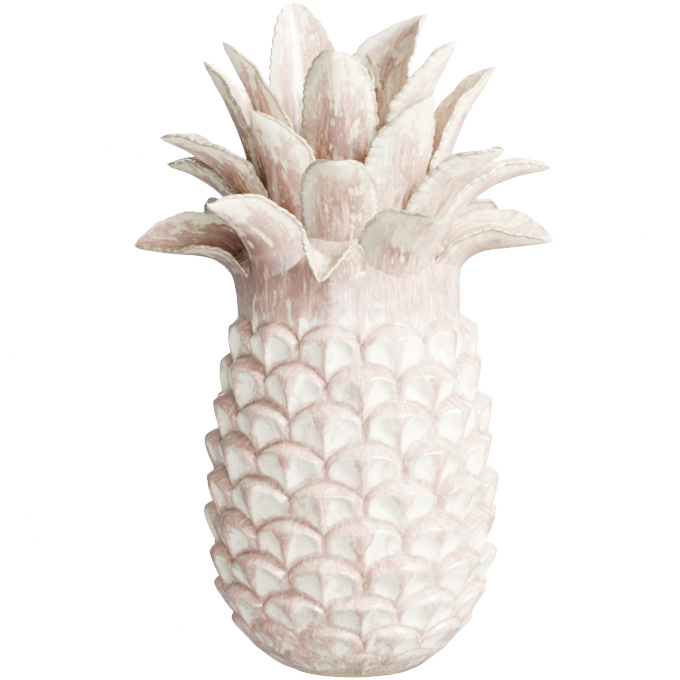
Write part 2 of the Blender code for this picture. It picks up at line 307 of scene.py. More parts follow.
class PineappleGlaze(bpy.types.PropertyGroup):
    """Colours of the reactive glaze and the bare clay."""

    white: colour_setting("White", "Glaze pooled in the hollows", (0.87, 0.85, 0.61))
    cream: colour_setting("Cream", "Glaze pooled on the leaves", (0.79, 0.73, 0.44))
    pale: colour_setting("Pale Pink", "Thin pink wash over the white", (0.78, 0.57, 0.42))
    pink: colour_setting("Pink", "Glaze broken over the raised parts", (0.39, 0.188, 0.135))
    # Dark pink: the glaze's dark mottle, and painted shade in the creases, on the neck under the leaves,
    # in the crown and on the left side
    dark: colour_setting("Dark Pink", "Glaze gathered in the creases", (0.150, 0.072, 0.056))
    # Grey green: the line where the white pool ends, and painted shade over the left-facing halves of the
    # leaves
    green: colour_setting("Grey Green", "Line where the white pool ends", (0.40, 0.42, 0.33))
    edge: colour_setting("Edge", "Olive brown where the glaze runs thin", (0.17, 0.12, 0.055))
    clay: colour_setting("Clay", "Bare clay of the foot", (0.66, 0.47, 0.22))
    gloss: bpy.props.FloatProperty(
        name="Roughness", description="Roughness of the glaze", default=0.26, min=0.0, max=1.0)


class PineappleStage(bpy.types.PropertyGroup):
    """Floor, light and camera."""

    floor: colour_setting("Floor", "Colour of the floor and backdrop", (0.90, 0.90, 0.90))
    floor_glow: bpy.props.FloatProperty(
        name="Floor Glow", description="How far the lit floor and backdrop outshine the ornament",
        default=26.0, min=0.0)
    key_power: bpy.props.FloatProperty(
        name="Key Light", description="Power of the large soft light on the right",
        default=640.0, min=0.0, unit="POWER")
    fill: bpy.props.FloatProperty(
        name="Fill", description="Strength of the even light from all round", default=0.46,
        min=0.0)


def joined(operation, swapped=False):
    """A method that joins a value and another in a Math node, or the other and the value."""
    def method(self, other):
        return self.nodes.math(operation, *((other, self) if swapped else (self, other)))
    return method


class Value:
    """A socket of a node tree that can stand in arithmetic."""

    __add__, __radd__ = joined("ADD"), joined("ADD", True)
    __sub__, __rsub__ = joined("SUBTRACT"), joined("SUBTRACT", True)
    __mul__, __rmul__ = joined("MULTIPLY"), joined("MULTIPLY", True)
    __truediv__, __rtruediv__ = joined("DIVIDE"), joined("DIVIDE", True)
    __pow__ = joined("POWER")
    at_least, at_most = joined("MAXIMUM"), joined("MINIMUM")

    def __init__(self, nodes, socket):
        self.nodes = nodes
        self.socket = socket

    def math(self, operation, *others):
        """Add one Math node that starts with this value."""
        return self.nodes.math(operation, self, *others)

    def __abs__(self):
        return self.math("ABSOLUTE")

    def ease(self, start, end):
        """Rise smoothly from 0 at start to 1 at end."""
        return self.nodes.add("ShaderNodeMapRange", {"interpolation_type": "SMOOTHSTEP"},
                              {"Value": self, "From Min": start, "From Max": end})


class Nodes:
    """Adds nodes to a tree and hands their sockets back as values."""

    def __init__(self, tree):
        self.tree = tree

    def add(self, kind, settings=None, sockets=None, output=0):
        """Add a node, set it up, feed its sockets and return one of its outputs."""
        node = self.tree.nodes.new(kind)
        for name, value in (settings or {}).items():
            if name == "curve":
                set_curve(node.mapping, value)
            else:
                setattr(node, name, value)
        for name, value in (sockets or {}).items():
            self.feed(node.inputs[name], value)
        return Value(self, node.outputs[output])

    def feed(self, socket, value):
        """Link a value to a socket, or set the socket's own number."""
        if isinstance(value, Value):
            self.tree.links.new(value.socket, socket)
        else:
            socket.default_value = value

    def math(self, operation, *operands):
        """Add a Math node."""
        return self.add("ShaderNodeMath", {"operation": operation}, dict(enumerate(operands)))

    def mix(self, first, second, share):
        """Blend two colours."""
        return self.add("ShaderNodeMix", {"data_type": "RGBA"},
                        {0: share, 6: first, 7: second}, output=2)

    def scaled(self, vector, scale):
        """Stretch a vector by a factor for each axis."""
        return self.add("ShaderNodeVectorMath", {"operation": "MULTIPLY"},
                        {0: vector, 1: scale})

    def noise(self, vector, scale, detail=2.0, roughness=0.5, distortion=0.0):
        """Noise between 0 and 1 over a vector."""
        return self.add("ShaderNodeTexNoise", None,
                        {"Vector": vector, "Scale": scale, "Detail": detail,
                         "Roughness": roughness, "Distortion": distortion})


def set_curve(mapping, points):
    """Draw a Float Curve node's curve through points."""
    curve = mapping.curves[0]
    curve.points[0].location = points[0]
    curve.points[1].location = points[-1]
    for point in points[1:-1]:
        curve.points.new(*point)
    mapping.update()


def ease(value, start, end):
    """Rise smoothly from 0 at start to 1 at end, for numbers and arrays."""
    share = np.clip((value - start) / (end - start), 0.0, 1.0)
    return share * share * (3 - 2 * share)


def profile_radius(height):
    """Radius of the body at a height, on a smooth curve through its profile."""
    heights = np.array([point[0] for point in BODY_PROFILE])
    radii = np.array([point[1] for point in BODY_PROFILE])
    slopes = np.empty_like(radii)
    slopes[1:-1] = (radii[2:] - radii[:-2]) / (heights[2:] - heights[:-2])
    slopes[0] = (radii[1] - radii[0]) / (heights[1] - heights[0])
    slopes[-1] = (radii[-1] - radii[-2]) / (heights[-1] - heights[-2])
    height = np.clip(height, heights[0], heights[-1])
    index = np.clip(np.searchsorted(heights, height) - 1, 0, len(heights) - 2)
    span = heights[index + 1] - heights[index]
    share = (height - heights[index]) / span
    square, cube = share ** 2, share ** 3
    return (radii[index] * (2 * cube - 3 * square + 1)
            + slopes[index] * span * (cube - 2 * square + share)
            + radii[index + 1] * (3 * square - 2 * cube)
            + slopes[index + 1] * span * (cube - square))


def store(nodes, geometry, name, value):
    """Keep a number on each point under a name."""
    return nodes.add("GeometryNodeStoreNamedAttribute", {"data_type": "FLOAT", "domain": "POINT"},
                     {"Geometry": geometry, "Name": name, "Value": value})


def stored(nodes, name, kind="FLOAT"):
    """Read a number kept under a name."""
    return nodes.add("GeometryNodeInputNamedAttribute", {"data_type": kind}, {"Name": name})


def arch_drop(across):
    """How far an arch falls below its top, as a share of two row pitches."""
    remaining = (1 - across ** ARCH_ROUNDNESS).at_least(0.0)
    return ARCH_SHARE * (1 - remaining ** (1 / ARCH_ROUNDNESS))


def arch_distance(drop_at, across):
    """Distance from an arch in metres, at a drop below it and a share of its half width."""
    steep = (1 - across ** ARCH_ROUNDNESS).at_least(ARCH_STEEPEST) ** (1 / ARCH_ROUNDNESS - 1)
    slope = across ** (ARCH_ROUNDNESS - 1) * steep * (ARCH_SHARE * 2 * ROW_PITCH / EYE_HALF_WIDTH)
    return drop_at * (2 * ROW_PITCH) / (1 + slope * slope).math("SQRT")


def eye_tree():
    """Geometry Nodes that lay staggered rings of carved eyes over the body."""
    tree = bpy.data.node_groups.new("Pineapple eyes", "GeometryNodeTree")
    tree.interface.new_socket("Geometry", in_out="OUTPUT", socket_type="NodeSocketGeometry")
    for kind, names in EYE_INPUTS.items():
        for name in names:
            tree.interface.new_socket(name, in_out="INPUT", socket_type=kind)
    nodes = Nodes(tree)
    group = tree.nodes.new("NodeGroupInput")
    given = {socket.name: Value(nodes, socket) for socket in group.outputs if socket.name}

    # One eye as a flat grid: across from -1 to 1, level from 0 at its arch to 1 at its foot
    grid = nodes.add("GeometryNodeMeshGrid", None, {
        "Size X": 2.0, "Size Y": 1.0,
        "Vertices X": given["Columns"] + 1, "Vertices Y": given["Levels"] + 1})
    place = nodes.add("GeometryNodeInputPosition")
    flat_x = nodes.add("ShaderNodeSeparateXYZ", None, {0: place})
    flat_y = nodes.add("ShaderNodeSeparateXYZ", None, {0: place}, output=1)
    evenly = abs(flat_x)
    crowded = 0.5 - 0.5 * (evenly * math.pi).math("COSINE")
    spread = (0.5 * evenly + 0.5 * crowded) * flat_x.math("SIGN")
    sheet = store(nodes, grid, "across", spread)
    sheet = store(nodes, sheet, "level", (0.5 - flat_y).at_least(0.0) ** 1.3)

    # A copy for each eye, told apart by its number
    count = given["Eyes Around"] * given["Rings"]
    points = nodes.add("GeometryNodePoints", None, {"Count": count})
    eyes = nodes.add("GeometryNodeInstanceOnPoints", None, {"Points": points, "Instance": sheet})
    eyes = nodes.add("GeometryNodeStoreNamedAttribute", {"data_type": "INT", "domain": "INSTANCE"}, {
        "Geometry": eyes, "Name": "eye", "Value": nodes.add("GeometryNodeInputIndex")})
    skin = nodes.add("GeometryNodeRealizeInstances", None, {"Geometry": eyes})

    across = stored(nodes, "across")
    level = stored(nodes, "level")
    eye = stored(nodes, "eye", "INT")
    ring = (eye / given["Eyes Around"] + 0.001).math("FLOOR")
    column = eye - ring * given["Eyes Around"]
    beside = abs(across)

    def random(which):
        """A number between -1 and 1 for each eye."""
        return nodes.add("FunctionNodeRandomValue", {"data_type": "FLOAT"}, {
            2: -1.0, 3: 1.0, "ID": eye, "Seed": given["Seed"] + which}, output=1) * given["Variety"]

    # Where the point lies on the body
    start = arch_drop(beside)
    end = 0.5 + arch_drop(1 - beside)
    span = (end - start).at_least(0.0)
    below_arch = level * span
    above_foot = (1 - level) * span
    row = ring + 2 * (start + below_arch)
    crowding = ROW_CROWDING * (row - LAST_EVEN_ROW).at_least(0.0) ** CROWDING_POWER
    height = TOP_ROW_HEIGHT - ROW_PITCH * row + crowding
    half_turn = math.pi / given["Eyes Around"]
    stagger = ring.math("MODULO", 2.0)
    azimuth = math.radians(FIRST_EYE_AZIMUTH) + (2 * column + stagger + across) * half_turn

    # The carved relief: a rolled rim, a nub, a keel and a scooped facet on either side
    from_arch = arch_distance(below_arch, beside)
    from_foot = arch_distance(above_foot, 1 - beside)
    from_side = (1 - beside) * EYE_HALF_WIDTH
    inset = from_arch.math("SMOOTH_MIN", from_side, CORNER_ROUNDING)
    lean = across - 0.07 * random(1) * (1 - beside * beside) * level
    side_share = (lean * lean + KEEL_ROUNDING).math("SQRT")
    edge_share = (inset / RIM_REACH).at_least(0.0).at_most(1.0)
    rim = edge_share * (2 - edge_share)
    rise = RIM_HEIGHT + (1 - RIM_HEIGHT) * level.ease(0.0, NUB_SHARE)
    past_nub = ((level - NUB_SHARE) / (1 - NUB_SHARE)).at_least(0.0)
    pillow = rim * rise * (1 - past_nub ** KEEL_FALL)
    side = 1 - SIDE_FALL * side_share ** 1.15
    band = given["Band Width"] * (1 + 0.22 * random(2)) * (1.3 - 0.42 * beside)
    spot = nodes.add("ShaderNodeCombineXYZ", None, {0: azimuth * WIDEST_RADIUS, 1: height, 2: 0.0})
    wobble = (nodes.noise(spot, WOBBLE_SCALE) - 0.5) * WOBBLE * given["Variety"]
    to_rim = inset - band + wobble
    wedge = 0.05 + 0.21 * (1 - below_arch.ease(0.10, 0.46)) + 0.05 * random(5)
    to_keel = (side_share - wedge) * EYE_HALF_WIDTH - wobble
    to_foot = from_foot - FOOT_INSET + wobble * 0.5
    off_keel = (to_keel / FACET_REACH).at_least(0.0).at_most(1.0)
    curved = off_keel * (2 - off_keel)
    scoop = to_rim.ease(-0.0012, 0.0050) * curved * to_foot.ease(-0.001, 0.0075)
    scoop = scoop * (1 + 0.30 * random(3) * across + 0.20 * random(9))
    lip = (inset / band).ease(0.1, 0.5) * (1 - (inset / band).ease(0.6, 1.2)) * (1 - level.ease(0.74, 1.0))
    strength = height.ease(*RELIEF_LOW) * (1 - height.ease(*RELIEF_HIGH))
    relief = pillow * side * (1 + 0.08 * random(4) * rim)
    carved = given["Scoop Depth"] * scoop - given["Band Rise"] * lip
    depth = strength * (given["Eye Depth"] * (1 - relief) + carved)

    profile = [(high / BODY_TOP, wide / WIDEST_RADIUS) for high, wide in BODY_PROFILE]
    outer = nodes.add("ShaderNodeFloatCurve", {"curve": profile}, {"Value": height / BODY_TOP})
    radius = outer * WIDEST_RADIUS - depth
    landing = nodes.add("ShaderNodeCombineXYZ", None, {
        0: radius * azimuth.math("SINE"), 1: -1 * radius * azimuth.math("COSINE"), 2: height})
    skin = nodes.add("GeometryNodeSetPosition", None, {"Geometry": skin, "Position": landing})

    # Where the glaze pools and breaks, and where shade is painted into the creases
    petal = to_rim.math("SMOOTH_MIN", to_keel, 0.005).math("SMOOTH_MIN", to_foot, 0.004)
    near_leaves = (height.ease(0.230, 0.248) * (0.75 + 0.3 * random(8))).at_most(1.0)
    pooled = petal.ease(-0.0020, 0.0020) * (0.85 + 0.12 * random(6)) * (1 - near_leaves)
    pooled = pooled * (0.60 + 0.40 * height.ease(0.01, 0.08))
    border = to_rim.ease(-0.0008, 0.0002) * (1 - to_rim.ease(0.0006, 0.0022)) * off_keel.ease(0.1, 0.4)
    # Painted shade: darker pink along the creases at each arch and foot and down each eye's sides; near
    # the keel the darker pink is the glaze's own tone
    crease = (1 - from_arch.ease(0.0004, 0.0034)).at_least(1 - from_foot.ease(0.0, 0.0024))
    on_keel = (1 - to_keel.ease(-0.004, 0.0005)) * level.ease(0.10, 0.30) * (1 - level.ease(0.60, 0.95))
    crease = crease.at_least(on_keel * (0.40 + 0.35 * random(7)))
    crease = crease.at_least(0.5 * (1 - from_side.ease(0.0002, 0.0018)))
    skin = store(nodes, skin, "pooled", pooled)
    skin = store(nodes, skin, "border", border * strength)
    skin = store(nodes, skin, "crease", crease * strength)

    skin = nodes.add("GeometryNodeMergeByDistance", None,
                     {"Geometry": skin, "Distance": MERGE_DISTANCE})
    skin = nodes.add("GeometryNodeRealizeInstances", None, {"Geometry": skin})
    skin = nodes.add("GeometryNodeSetMaterial", None,
                     {"Geometry": skin, "Material": given["Material"]})
    result = tree.nodes.new("NodeGroupOutput")
    nodes.feed(result.inputs[0], skin)
    return tree


def grow_eyes(sizes, material):
    """Run the eye tree once and return its result as a plain mesh."""
    tree = eye_tree()
    carrier = bpy.data.objects.new("eye carrier", bpy.data.meshes.new("eye carrier"))
    bpy.context.scene.collection.objects.link(carrier)
    modifier = carrier.modifiers.new("Eyes", "NODES")
    modifier.node_group = tree
    fixed = {"Columns": EYE_COLUMNS, "Levels": EYE_LEVELS, "Material": material}
    for socket in tree.interface.items_tree:
        if socket.in_out == "INPUT":
            setting = socket.name.lower().replace(" ", "_")
            modifier[socket.identifier] = fixed.get(socket.name) or getattr(sizes, setting)
    view = bpy.context.evaluated_depsgraph_get()
    mesh = bpy.data.meshes.new_from_object(carrier.evaluated_get(view))
    carrier.modifiers.remove(modifier)
    bpy.data.objects.remove(carrier)
    return mesh


def extend_rim(mesh, rim, places):
    """Carry an open rim on through rows of new places, with plain glaze on them."""
    masks = [mesh.verts.layers.float[name] for name in ("pooled", "border", "crease")]
    origins = {point: (Vector((point.co.x, point.co.y, 0)).normalized(), point.co.z)
               for point in rim}
    row = rim
    for place in places:
        edges = [edge for point in row for edge in point.link_edges
                 if edge.is_boundary and edge.other_vert(point) in origins]
        fresh = bmesh.ops.extrude_edge_only(mesh, edges=list(dict.fromkeys(edges)))["geom"]
        row = [item for item in fresh if isinstance(item, bmesh.types.BMVert)]
        origins = {point: origins[edge.other_vert(point)] for point in row
                   for edge in point.link_edges if edge.other_vert(point) in origins}
        for point in row:
            point.co = place(*origins[point])
            for mask in masks:
                point[mask] = 0.0
    return row


def close_body(mesh):
    """Add the foot, the underside, the shoulder and the closed core to the skin of eyes."""
    open_points = dict.fromkeys(
        point for edge in mesh.edges if edge.is_boundary for point in edge.verts)
    low_rim = [point for point in open_points if point.co.z < BODY_TOP / 2]
    high_rim = [point for point in open_points if point.co.z > BODY_TOP / 2]

    def wall_place(goal, share):
        def place(bearing, height):
            level = height + (goal - height) * share
            return bearing * float(profile_radius(level)) + Vector((0, 0, level))
        return place

    def underside_place(share):
        return lambda bearing, height: bearing * (BODY_PROFILE[0][1] * (1 - share))

    def core_place(share):
        level = BODY_TOP + (CORE_PROFILE[-1][0] - BODY_TOP) * share
        heights = [BODY_TOP] + [point[0] for point in CORE_PROFILE]
        radii = [BODY_PROFILE[-1][1]] + [point[1] for point in CORE_PROFILE]
        radius = float(np.interp(level, heights, radii))
        return lambda bearing, height: bearing * radius + Vector((CROWN_OFFSET, 0, level))

    places = [wall_place(0.0, (step + 1) / FOOT_ROWS) for step in range(FOOT_ROWS)]
    places += [underside_place((step + 1) / (UNDERSIDE_ROWS + 1)) for step in range(UNDERSIDE_ROWS)]
    floor_row = extend_rim(mesh, low_rim, places)
    places = [wall_place(BODY_TOP, (step + 1) / SHOULDER_ROWS) for step in range(SHOULDER_ROWS)]
    places += [core_place((step + 1) / CORE_ROWS) for step in range(CORE_ROWS)]
    top_row = extend_rim(mesh, high_rim, places)
    for row in (floor_row, top_row):
        hub = mesh.verts.new(sum((point.co for point in row), Vector()) / len(row))
        ring = set(row)
        for edge in [edge for edge in mesh.edges if edge.is_boundary and edge.verts[0] in ring]:
            mesh.faces.new((edge.verts[0], edge.verts[1], hub))


def finish_mesh(mesh, data):
    """Merge doubled points, turn the faces outward and hand the mesh over."""
    bmesh.ops.remove_doubles(mesh, verts=mesh.verts, dist=MERGE_DISTANCE)
    bmesh.ops.recalc_face_normals(mesh, faces=mesh.faces)
    mesh.to_mesh(data)
    mesh.free()


def half_width(leaf, along):
    """Half the width of a leaf at a share of its length."""
    rise = leaf["base_width"] + (1 - leaf["base_width"]) * ease(along, 0.0, leaf["widest"])
    past = np.clip((along - leaf["widest"]) / (1 - leaf["widest"]), 0.0, 1.0)
    return leaf["width"] / 2 * rise * (1 - past ** TIP_TAPER) ** leaf["tip"]


def midrib(leaf):
    """Centres, sideways, inward directions and shares of the length down a leaf."""
    along = np.linspace(0.0, 1.0, MIDRIB_STEPS + 1)
    bend = ease(along, leaf["bend_start"], leaf["bend_end"])
    slope = np.radians(leaf["rise"] + (leaf["fall"] - leaf["rise"]) * bend)
    turn = np.radians(leaf["azimuth"] + leaf["sway"] * along ** 2)
    level = np.zeros_like(turn)
    outward = np.stack((np.sin(turn), -np.cos(turn), level), 1)
    side = np.stack((np.cos(turn), np.sin(turn), level), 1)
    forward = outward * np.cos(slope)[:, None] + np.array((0, 0, 1)) * np.sin(slope)[:, None]
    inward = np.cross(forward, side)
    roll = np.radians(leaf["roll"] * (ROOT_ROLL + (1 - ROOT_ROLL) * along))[:, None]
    rolled_side = side * np.cos(roll) + inward * np.sin(roll)
    rolled_in = inward * np.cos(roll) - side * np.sin(roll)
    root = math.radians(leaf["azimuth"] + leaf["offset"])
    start = np.array((leaf["radius"] * math.sin(root) + CROWN_OFFSET,
                      -leaf["radius"] * math.cos(root), leaf["height"]))
    steps = forward[:-1] * (leaf["length"] / MIDRIB_STEPS)
    centre = np.concatenate((start[None], start + np.cumsum(steps, 0)))
    return along, centre, rolled_side, rolled_in


def fold_lift(across):
    """How far the sides of a channel rise towards its margins, from 0 to 1."""
    full = math.sqrt(1 + FOLD_EASE ** 2) - FOLD_EASE
    return (np.sqrt(across ** 2 + FOLD_EASE ** 2) - FOLD_EASE) / full


def leaf_thickness(leaf, sizes, along, across):
    """Thickness of a leaf, most at its midrib and least at its margins and tip."""
    thick = sizes.midrib_thickness * (1 - TIP_THINNING * along)
    spread = 1 - np.minimum(np.abs(across), 1.0) ** MIDRIB_SPREAD
    wall = sizes.margin_thickness + (thick - sizes.margin_thickness) * spread
    return wall * (1 - 0.85 * ease(along, 0.955, 1.0))


def scallop(distance, pitch, phase):
    """Lobes along a margin, 1 on each lobe and 0 in each notch, leaning to the tip."""
    share = (distance / pitch + phase) % 1.0
    return np.sin(np.pi * share ** LOBE_LEAN) ** LOBE_ROUNDNESS


def leaf_section():
    """Share across, face and bulge of the points round a leaf's section.

    They run over the outer face, round the right margin, back over the inner face, round the left.
    """
    even = np.linspace(-1.0, 1.0, LEAF_COLUMNS + 1)
    across = 0.55 * even + 0.45 * np.sin(even * math.pi / 2)
    arc = np.radians(np.array(MARGIN_ARC))
    margin, flat = np.ones(len(arc)), np.zeros(len(across))
    columns = np.concatenate((across, margin, across[::-1], -margin))
    face = np.concatenate((flat - 1, np.sin(arc), flat + 1, np.sin(arc)[::-1]))
    bulge = np.concatenate((flat, np.cos(arc), flat, np.cos(arc)))
    return columns[None, :], face[None, :], bulge[None, :]


def leaf_glaze(rooted, along, section, notch, side):
    """Masks for where the glaze pools and wears on a leaf, and where shade is painted on it."""
    columns, face, bulge = section
    beside = np.abs(columns)
    inner = (face > 0) * (bulge == 0)
    margin = ease(beside, 0.50, 1.0)
    pale_tip = ease(along, 0.45, 0.95) * (1 - 0.35 * inner)
    pooled = np.maximum(0.85 * margin * ease(along, 0.12 + 0.26 * rooted, 0.40 + 0.18 * rooted),
                        pale_tip * (0.75 + 0.25 * margin))
    # Painted shade: darker pink deep in the inner face near the root, where the leaves crowd together
    deep = inner * (1 - ease(along, 0.30, 0.95)) * (1 - 0.4 * beside)
    # Darker pink down the outer face towards the root: the glaze's pink tone together with painted shade
    flush = (1 - inner) * (1 - ease(along, 0.50, 1.0)) * (ease(along, 0.36, 0.56) if rooted else 1)
    # Painted shade: grey green over the left-facing halves of the leaves, away from the soft box
    lee_shade = np.maximum(-columns * side[..., 0], 0.0) * ease(beside, 0.45, 0.95)
    arris = np.where(bulge > 0, 0.9, ease(beside, 0.94, 0.99))
    return {
        "pooled": pooled,
        "border": (0.4 * notch * ease(beside, 0.88, 1.0) + 1.3 * lee_shade) * ease(along, 0.15, 0.35),
        "crease": deep + flush * (1 - 0.6 * beside),
        "edge": arris * ease(along, 0.12, 0.30),
    }


def leaf_flow(leaf, rooted, along, points, sideways, depth):
    """Coordinates that the glaze follows on a leaf; a low leaf's start as the body's."""
    turn = math.radians(leaf["azimuth"])
    away = (np.arctan2(points[..., 0], -points[..., 1]) - turn + math.pi) % math.tau - math.pi
    free = ease(along, *FREE_BAND) if rooted else 1.0
    around = (turn + away * (1 - free)) * WIDEST_RADIUS + sideways * 1.3 * free
    upward = points[..., 2] * (1 - free) + (along * leaf["length"] + leaf["height"]) * free
    return np.stack(np.broadcast_arrays(around, upward, depth), -1)


def leaf_points(leaf, sizes, random):
    """Rings of points round a leaf's section, with its glaze masks and flow coordinates."""
    steps = np.linspace(0.0, 1.0, LEAF_STATIONS + 1)
    along = (1 - (1 - steps) ** STATION_CROWDING)[:, None]
    shares, centre, side, inward = midrib(leaf)
    centre, side, inward = (np.stack([np.interp(along[:, 0], shares, table[:, axis])
                                      for axis in range(3)], 1)[:, None, :]
                            for table in (centre, side, inward))
    distance = along * leaf["length"]
    toothed = ease(along, *LOBE_BAND) * (1 - ease(along, 0.95, 1.0))
    half = half_width(leaf, along)
    wander = random.uniform(0, 1, 8)
    wobble = 0.25 * np.sin(2 * np.pi * (distance / LOBE_DRIFT + wander[4]))
    lobes = [scallop(distance, sizes.tooth_pitch * (0.9 + 0.25 * wander[which]),
                     wander[which + 2] + wobble) for which in range(2)]

    section = leaf_section()
    columns, face, bulge = section
    beside = np.abs(columns)
    lobe = np.where(columns > 0, lobes[1], lobes[0])
    notch = (1 - lobe) * toothed
    wall = leaf_thickness(leaf, sizes, along, columns)
    broad = np.minimum(half / NARROW_HALF, 1.0)
    reach = half - (sizes.tooth_depth * notch * ease(beside, 0.72, 1.0)
                    + 0.35 * sizes.margin_thickness) * broad
    reach = np.maximum(reach, 0.0)
    sideways = reach * columns + np.sign(columns) * bulge * wall * 0.5
    wave = sizes.edge_wave * beside ** 3 * ease(along, 0.2, 0.5) * (
        np.sin(2 * np.pi * (distance / LONG_WAVE + wander[5] + 0.5 * (columns > 0)))
        + 0.6 * np.sin(2 * np.pi * (distance / SHORT_WAVE + wander[6] + 0.3 * (columns > 0))))
    lift = half * leaf["fold"] * fold_lift(columns) + wave * broad
    out_of_plane = lift + face * wall * 0.5
    points = centre + side * sideways[..., None] + inward * out_of_plane[..., None]

    rooted = leaf["radius"] > ROOT_RADIUS
    masks = leaf_glaze(rooted, along, section, notch, side)
    flow = leaf_flow(leaf, rooted, along, points, sideways, (face + 1) * 0.004)
    flow[..., 0] += 0.002 * np.sin(distance / 0.013 + wander[7] * 6) * toothed
    return points, masks, flow


def leaf_grid(points):
    """Faces of a tube of rings, closed at both ends."""
    rings, around = points.shape[:2]
    faces = []
    for ring in range(rings - 1):
        for index in range(around):
            following = (index + 1) % around
            faces.append((ring * around + index, ring * around + following,
                          (ring + 1) * around + following, (ring + 1) * around + index))
    faces.append(tuple(reversed(range(around))))
    last = (rings - 1) * around
    faces.append(tuple(range(last, last + around)))
    return faces


def uneven(points, amount):
    """Shift points by a slow wander, as hand-shaped clay strays, half as far on the crown."""
    amounts = amount * (1 - 0.5 * ease(points[:, 2], *NECK_LOW))
    drifts = [noise.noise_vector(place * SLOW_WANDER)
              + FINE_SHARE * noise.noise_vector(place * FINE_WANDER) for place in map(Vector, points)]
    return points + np.array(drifts) * amounts[:, None]


def tier_shape(name, sizes, random):
    """Points, faces, glaze masks and flow coordinates of all the leaves of a tier."""
    tier, leaves = LEAVES[name]
    places, faces, flows, masks, count = [], [], [], {}, 0
    for own in leaves:
        leaf = {**LEAF_DEFAULTS, **tier, **own}
        points, own_masks, flow = leaf_points(leaf, sizes, random)
        faces += [tuple(count + index for index in face) for face in leaf_grid(points)]
        places.append(points.reshape(-1, 3))
        flows.append(flow.reshape(-1, 3))
        for kind, values in own_masks.items():
            full = np.broadcast_to(values, points.shape[:2]).ravel()
            masks.setdefault(kind, []).append(full)
        count += len(places[-1])
    masks = {kind: np.concatenate(values) for kind, values in masks.items()}
    return np.concatenate(places), faces, masks, np.concatenate(flows)


def root_tree(sizes):
    """The low leaves in a form that rays can be cast at."""
    places, faces, _, _ = tier_shape("leaves_low", sizes, np.random.default_rng(sizes.seed))
    return BVHTree.FromPolygons([tuple(place) for place in places], faces)


def root_swell(points, leaves, fillet):
    """Push skin points out to meet the roots of the low leaves in soft fillets."""
    sinks = (ROOT_COVER + ROOT_SINK) * ease(points[:, 2], *ROOT_SINK_BAND) - ROOT_COVER
    weights = ease(points[:, 2], *ROOT_BAND) * (points[:, 2] <= BODY_TOP + MERGE_DISTANCE)
    moved = points.copy()
    for index in np.flatnonzero(weights):
        place = Vector(points[index])
        outward = Vector((place.x, place.y, 0)).normalized()
        _, normal, _, distance = leaves.ray_cast(
            place + outward * ROOT_REACH, -outward, ROOT_REACH + fillet)
        if distance is None or normal.dot(outward) < 0:
            continue
        gap = ROOT_REACH - distance - sinks[index]
        push = max(gap, 0.0) + max(fillet - abs(gap), 0.0) ** 2 / (4 * fillet)
        moved[index] += np.array(outward) * push * weights[index]
    return moved


def smooth_neck(data, points):
    """Even out the skin where the roots of the low leaves meet the eyes."""
    edges = np.zeros(len(data.edges) * 2, np.int64)
    data.edges.foreach_get("vertices", edges)
    ends = np.concatenate((edges.reshape(-1, 2), edges.reshape(-1, 2)[:, ::-1]))
    degree = np.bincount(ends[:, 0], minlength=len(points))[:, None]
    weight = (ease(points[:, 2], *NECK_LOW) * (1 - ease(points[:, 2], *NECK_HIGH)))[:, None]
    for _ in range(NECK_PASSES):
        pulled = np.stack([np.bincount(ends[:, 0], points[ends[:, 1], axis], len(points))
                           for axis in range(3)], 1)
        points = points + NECK_PULL * weight * (pulled / degree - points)
    return points


def body_flow(points):
    """Coordinates that the glaze follows on the body, curling on the eyes and straight above."""
    bearing = np.arctan2(points[:, 0], -points[:, 1])
    flow = np.stack((bearing * WIDEST_RADIUS, points[:, 2], 0 * bearing), 1)
    curl = 1 - ease(points[:, 2], *CURL_BAND)
    for index in np.flatnonzero(curl):
        drift = np.array(noise.noise_vector(Vector(points[index]) * CURL_SCALE))
        flow[index] += drift * curl[index] * CURL * CURL_STRETCH
    return flow


def keep(data, name, values):
    """Keep a number or a vector on each point of a mesh, under a name."""
    kind, field = ("FLOAT", "value") if values.ndim == 1 else ("FLOAT_VECTOR", "vector")
    attribute = data.attributes.new(name, kind, "POINT")
    attribute.data.foreach_set(field, np.ascontiguousarray(values, np.float32).ravel())


def mesh_points(data):
    """The places of a mesh's points as rows."""
    places = np.zeros(len(data.vertices) * 3, np.float32)
    data.vertices.foreach_get("co", places)
    return places.reshape(-1, 3).astype(float)


def place_piece(data, name, material):
    """Put a finished mesh in the scene as a piece of the ornament."""
    piece = bpy.data.objects.new(name, data)
    data.name = name
    data.materials.clear()
    data.materials.append(material)
    data.shade_smooth()
    bpy.context.scene.collection.objects.link(piece)
    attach(piece, BODY)
    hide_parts(NODE)


